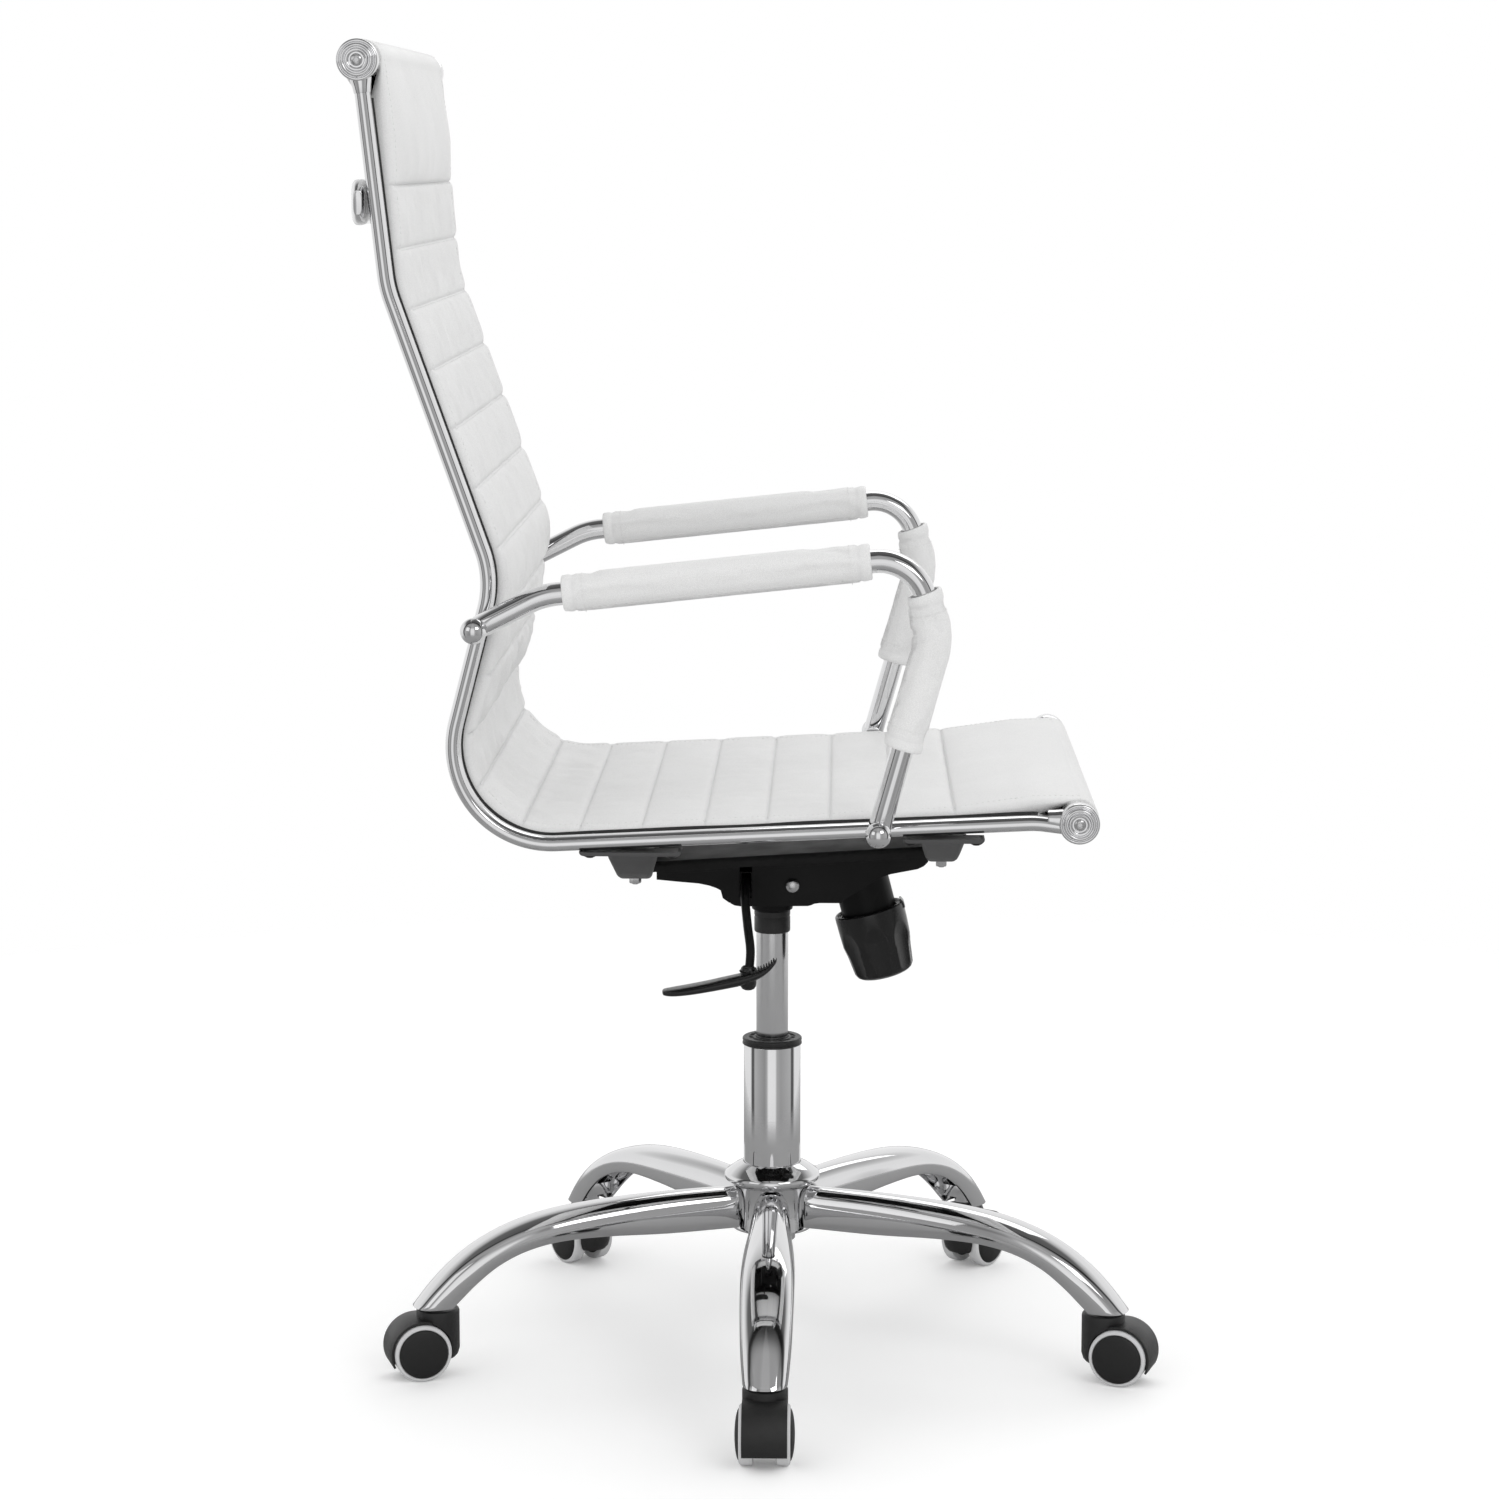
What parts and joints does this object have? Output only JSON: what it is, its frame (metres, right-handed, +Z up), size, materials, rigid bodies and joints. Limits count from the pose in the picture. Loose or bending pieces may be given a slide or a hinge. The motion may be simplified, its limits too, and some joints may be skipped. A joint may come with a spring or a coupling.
{
  "type": "swivel office chair",
  "caption": "High-back swivel office chair with a ribbed leather sling on bent side frames, padded arm loops, tilt mechanism, gas lift and chromed star base on casters.",
  "frame": {"origin": "middle of the footprint, on the floor under the chair", "axes": "+Z up; the chair faces -Y, its right-hand side with the gas lever is -X"},
  "size_m": [0.642, 0.6756, 1.1385],
  "materials": {
    "chrome": "polished",
    "steel": "satin",
    "black_steel": "semi-gloss powder coat",
    "grey_steel": "matte powder coat",
    "black_plastic": "fine-grained nylon",
    "caster_tread": "matte polyurethane tread",
    "white_leather": "smooth bonded leather"
  },
  "bodies": {
    "base": {"base_hub": "chrome", "column_tube": "chrome", "guide_bush": "black_plastic", "base_leg_1": "chrome", "base_leg_2": "chrome", "base_leg_3": "chrome", "base_leg_4": "chrome", "base_leg_5": "chrome", "caster_stem_1": "steel", "caster_stem_2": "steel", "caster_stem_3": "steel", "caster_stem_4": "steel", "caster_stem_5": "steel"},
    "caster_1": {"caster_hood_1": "black_plastic"},
    "wheel_1a": {"caster_wheel_1a": "caster_tread"},
    "wheel_1b": {"caster_wheel_1b": "caster_tread"},
    "caster_2": {"caster_hood_2": "black_plastic"},
    "wheel_2a": {"caster_wheel_2a": "caster_tread"},
    "wheel_2b": {"caster_wheel_2b": "caster_tread"},
    "caster_3": {"caster_hood_3": "black_plastic"},
    "wheel_3a": {"caster_wheel_3a": "caster_tread"},
    "wheel_3b": {"caster_wheel_3b": "caster_tread"},
    "caster_4": {"caster_hood_4": "black_plastic"},
    "wheel_4a": {"caster_wheel_4a": "caster_tread"},
    "wheel_4b": {"caster_wheel_4b": "caster_tread"},
    "caster_5": {"caster_hood_5": "black_plastic"},
    "wheel_5a": {"caster_wheel_5a": "caster_tread"},
    "wheel_5b": {"caster_wheel_5b": "caster_tread"},
    "spindle": {"piston_rod": "steel", "thrust_bearing": "steel"},
    "lift": {"gas_cylinder": "steel", "taper_collar": "black_plastic", "lower_bracket": "black_steel", "tilt_pivot_pin": "steel", "tension_spring": "steel"},
    "valve": {"release_pin": "steel"},
    "lever_shuttle": {"lever_slide_block": "black_plastic"},
    "lever": {"gas_lever": "black_steel", "lever_paddle": "black_plastic"},
    "knob": {"tension_knob": "black_plastic"},
    "seat": {"tilt_pan": "black_steel", "rear_stretcher": "grey_steel", "front_stretcher": "grey_steel", "side_frame_left": "chrome", "side_frame_right": "chrome", "top_roller": "chrome", "front_roller": "chrome", "back_spreader": "chrome", "top_cap_left": "chrome", "top_cap_right": "chrome", "front_cap_left": "chrome", "front_cap_right": "chrome", "arm_tube_left": "chrome", "arm_tube_right": "chrome", "arm_sleeve_top_left": "white_leather", "arm_sleeve_top_right": "white_leather", "arm_sleeve_front_left": "white_leather", "arm_sleeve_front_right": "white_leather", "sling_panel": "white_leather"}
  },
  "joints": [
    {"name": "seat_swivel", "type": "hinge", "parent": "base", "child": "spindle", "pos_m": [0.027, 0, 0.2], "axis": [0, 0, 1], "continuous": true},
    {"name": "seat_height", "type": "slide", "parent": "spindle", "child": "lift", "axis": [0, 0, 1], "range_m": [-0.09, 0]},
    {"name": "seat_tilt", "type": "hinge", "parent": "lift", "child": "seat", "pos_m": [0.027, -0.0186, 0.429], "axis": [-1, 0, 0], "range_deg": [0, 12], "stiffness_Nm_per_rad": 120, "springref_deg": -20.05},
    {"name": "tension_knob_turn", "type": "hinge", "parent": "lift", "child": "knob", "pos_m": [0.027, -0.0844, 0.3957], "axis": [0, -0.2521, -0.9677], "continuous": true},
    {"name": "tilt_lock_slide", "type": "slide", "parent": "lift", "child": "lever_shuttle", "axis": [-1, 0, 0], "range_m": [0, 0.009]},
    {"name": "lever_lift", "type": "hinge", "parent": "lever_shuttle", "child": "lever", "pos_m": [-0.018, 0.0215, 0.43], "axis": [0, 1, 0], "range_deg": [0, 6], "stiffness_Nm_per_rad": 3, "springref_deg": -8.59},
    {"name": "valve_press", "type": "slide", "parent": "lift", "child": "valve", "axis": [0, 0, -1], "range_m": [0, 0.0048]},
    {"name": "caster_1_swivel", "type": "hinge", "parent": "base", "child": "caster_1", "pos_m": [-0.276, 0, 0.05], "axis": [0, 0, 1], "continuous": true},
    {"name": "wheel_1a_spin", "type": "hinge", "parent": "caster_1", "child": "wheel_1a", "pos_m": [-0.293, 0, 0.025], "axis": [0, -1, 0], "continuous": true},
    {"name": "wheel_1b_spin", "type": "hinge", "parent": "caster_1", "child": "wheel_1b", "pos_m": [-0.293, 0, 0.025], "axis": [0, -1, 0], "continuous": true},
    {"name": "caster_2_swivel", "type": "hinge", "parent": "base", "child": "caster_2", "pos_m": [-0.06663, -0.28817, 0.05], "axis": [0, 0, 1], "continuous": true},
    {"name": "wheel_2a_spin", "type": "hinge", "parent": "caster_2", "child": "wheel_2a", "pos_m": [-0.07189, -0.30434, 0.025], "axis": [0.9511, -0.309, 0], "continuous": true},
    {"name": "wheel_2b_spin", "type": "hinge", "parent": "caster_2", "child": "wheel_2b", "pos_m": [-0.07189, -0.30434, 0.025], "axis": [0.9511, -0.309, 0], "continuous": true},
    {"name": "caster_3_swivel", "type": "hinge", "parent": "base", "child": "caster_3", "pos_m": [0.27213, -0.1781, 0.05], "axis": [0, 0, 1], "continuous": true},
    {"name": "wheel_3a_spin", "type": "hinge", "parent": "caster_3", "child": "wheel_3a", "pos_m": [0.28589, -0.18809, 0.025], "axis": [0.5878, 0.809, 0], "continuous": true},
    {"name": "wheel_3b_spin", "type": "hinge", "parent": "caster_3", "child": "wheel_3b", "pos_m": [0.28589, -0.18809, 0.025], "axis": [0.5878, 0.809, 0], "continuous": true},
    {"name": "caster_4_swivel", "type": "hinge", "parent": "base", "child": "caster_4", "pos_m": [0.27213, 0.1781, 0.05], "axis": [0, 0, 1], "continuous": true},
    {"name": "wheel_4a_spin", "type": "hinge", "parent": "caster_4", "child": "wheel_4a", "pos_m": [0.28589, 0.18809, 0.025], "axis": [-0.5878, 0.809, 0], "continuous": true},
    {"name": "wheel_4b_spin", "type": "hinge", "parent": "caster_4", "child": "wheel_4b", "pos_m": [0.28589, 0.18809, 0.025], "axis": [-0.5878, 0.809, 0], "continuous": true},
    {"name": "caster_5_swivel", "type": "hinge", "parent": "base", "child": "caster_5", "pos_m": [-0.06663, 0.28817, 0.05], "axis": [0, 0, 1], "continuous": true},
    {"name": "wheel_5a_spin", "type": "hinge", "parent": "caster_5", "child": "wheel_5a", "pos_m": [-0.07189, 0.30434, 0.025], "axis": [-0.9511, -0.309, 0], "continuous": true},
    {"name": "wheel_5b_spin", "type": "hinge", "parent": "caster_5", "child": "wheel_5b", "pos_m": [-0.07189, 0.30434, 0.025], "axis": [-0.9511, -0.309, 0], "continuous": true}
  ],
  "couplings": [
    {"joint": "valve_press", "follows": "lever_lift", "m_per_rad": 0.045}
  ]
}
